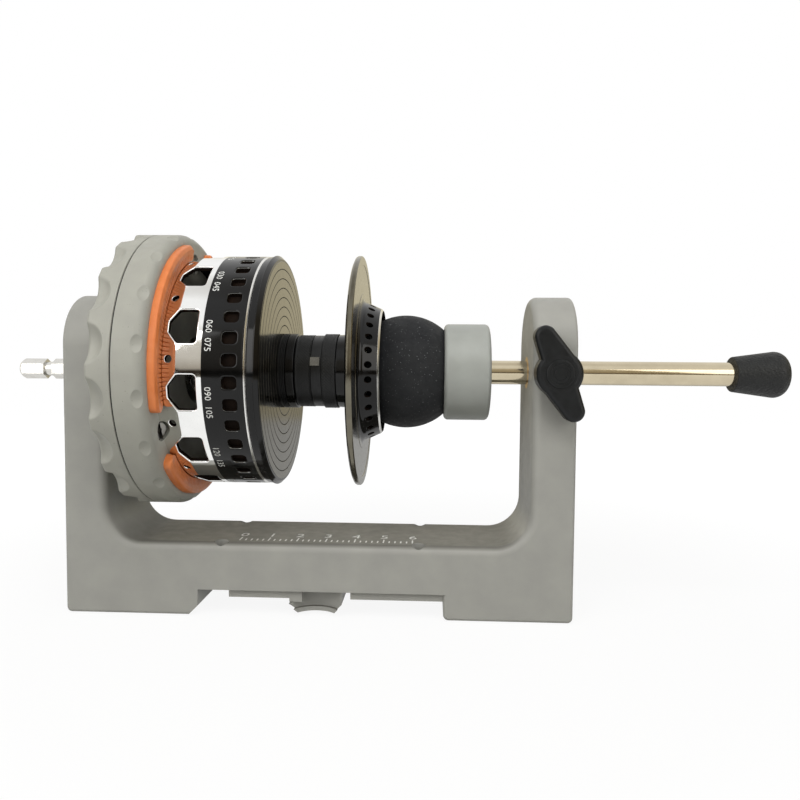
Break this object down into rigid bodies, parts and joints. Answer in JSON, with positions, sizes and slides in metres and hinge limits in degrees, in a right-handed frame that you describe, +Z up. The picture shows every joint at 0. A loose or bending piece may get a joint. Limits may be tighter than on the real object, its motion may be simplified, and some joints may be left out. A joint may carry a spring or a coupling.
{
  "type": "fishing line winder",
  "caption": "Fishing line winder: U-shaped stand with a hex-driven scroll chuck that grips a reel spool, and a sliding rod with a rubber pressure ball locked by a wing knob.",
  "frame": {"origin": "on the ground under the middle of the whole length and depth, z = 0 at the feet", "axes": "+X along the spindle from the drive shank to the rod's end cap, -Y is the side with the clamp knob, +Z up"},
  "size_m": [0.273, 0.0954, 0.1317],
  "materials": {
    "stand_enamel": "satin warm-grey moulding",
    "chuck_enamel": "satin warm-grey moulding with fine specks",
    "flange_grey": "fine-turned warm-grey metal with a black rim",
    "black_plastic": "black, finely textured",
    "knob_plastic": "satin black moulding",
    "collar_plastic": "light grey, smooth",
    "orange_plastic": "orange moulding",
    "black_gloss": "glossy black",
    "chrome": "polished",
    "steel": "bright turned steel",
    "aluminium": "turned",
    "brass": "turned",
    "rubber": "matt charcoal rubber with fine specks"
  },
  "bodies": {
    "stand": {"frame_casting": "stand_enamel", "bearing_retainer": "aluminium", "retainer_screws": "steel", "rod_bush": "brass", "clamp_insert": "brass", "base_tray": "stand_enamel", "tray_screws": "steel", "clamp_seat": "stand_enamel", "seat_screws": "steel", "spindle_bearing_outer_rings": "steel"},
    "rotor": {"spindle_bearing_inner_rings": "steel", "spindle_bearing_balls": "steel", "drive_spindle": "steel", "spindle_circlip": "steel", "chuck_hub": "aluminium", "chuck_body": "chuck_enamel", "chuck_screws": "steel", "cam_friction_ring": "black_plastic", "cam_ring_clip": "steel", "hub_washer": "steel", "hub_nut": "steel", "spool_skirt": "chrome", "spool_band": "black_gloss", "spool_rear_flange": "flange_grey", "spool_arbor": "aluminium", "arbor_rib_sleeve": "black_plastic", "arbor_knurl_sleeve": "black_plastic", "line_clip": "collar_plastic", "spool_front_flange": "flange_grey", "drag_cup": "black_gloss"},
    "cam": {"cam_ring": "chuck_enamel"},
    "jaw_1_group": {"jaw_1": "orange_plastic", "jaw_slider_1": "steel", "cam_pin_1": "steel"},
    "jaw_2_group": {"jaw_2": "orange_plastic", "jaw_slider_2": "steel", "cam_pin_2": "steel"},
    "jaw_3_group": {"jaw_3": "orange_plastic", "jaw_slider_3": "steel", "cam_pin_3": "steel"},
    "tail_slide_rod": {"tail_bearing_inner_ring": "steel", "tail_rod": "chrome", "tail_washer": "steel", "tail_screw": "steel", "rod_end_cap": "black_plastic"},
    "tail_center": {"pressure_ball": "rubber", "ball_core": "aluminium", "tail_collar": "collar_plastic", "tail_bearing_outer_ring": "steel", "tail_bearing_balls": "steel"},
    "clamp_pin": {"clamp_pad": "brass"},
    "knob": {"wing_knob": "knob_plastic", "knob_cap": "knob_plastic", "knob_stud": "steel"}
  },
  "joints": [
    {"name": "spindle_spin", "type": "hinge", "parent": "stand", "child": "rotor", "pos_m": [0, 0, 0.084], "axis": [1, 0, 0], "continuous": true},
    {"name": "cam_turn", "type": "hinge", "parent": "rotor", "child": "cam", "pos_m": [0, 0, 0.084], "axis": [1, 0, 0], "range_deg": [0, 45]},
    {"name": "jaw_1_slide", "type": "slide", "parent": "rotor", "child": "jaw_1_group", "axis": [0, -0.866, 0.5], "range_m": [0, 0.0018]},
    {"name": "jaw_2_slide", "type": "slide", "parent": "rotor", "child": "jaw_2_group", "axis": [0, 0, -1], "range_m": [0, 0.0018]},
    {"name": "jaw_3_slide", "type": "slide", "parent": "rotor", "child": "jaw_3_group", "axis": [0, 0.866, 0.5], "range_m": [0, 0.0018]},
    {"name": "tail_slide", "type": "slide", "parent": "stand", "child": "tail_slide_rod", "axis": [1, 0, 0], "range_m": [0, 0.013]},
    {"name": "tail_center_spin", "type": "hinge", "parent": "tail_slide_rod", "child": "tail_center", "pos_m": [0, 0, 0.084], "axis": [1, 0, 0], "continuous": true},
    {"name": "pad_slide", "type": "slide", "parent": "stand", "child": "clamp_pin", "axis": [0, -1, 0], "range_m": [0, 0.0015]},
    {"name": "knob_turn", "type": "hinge", "parent": "clamp_pin", "child": "knob", "pos_m": [0.054, -0.0187, 0.084], "axis": [0, -1, 0], "range_deg": [0, 540]}
  ],
  "couplings": [
    {"joint": "cam_turn", "follows": "jaw_2_slide", "rad_per_m": 436.33},
    {"joint": "jaw_1_slide", "follows": "jaw_2_slide", "ratio": 1},
    {"joint": "jaw_3_slide", "follows": "jaw_2_slide", "ratio": 1},
    {"joint": "tail_center_spin", "follows": "spindle_spin", "ratio": 1},
    {"joint": "knob_turn", "follows": "pad_slide", "rad_per_m": 6283.2}
  ]
}
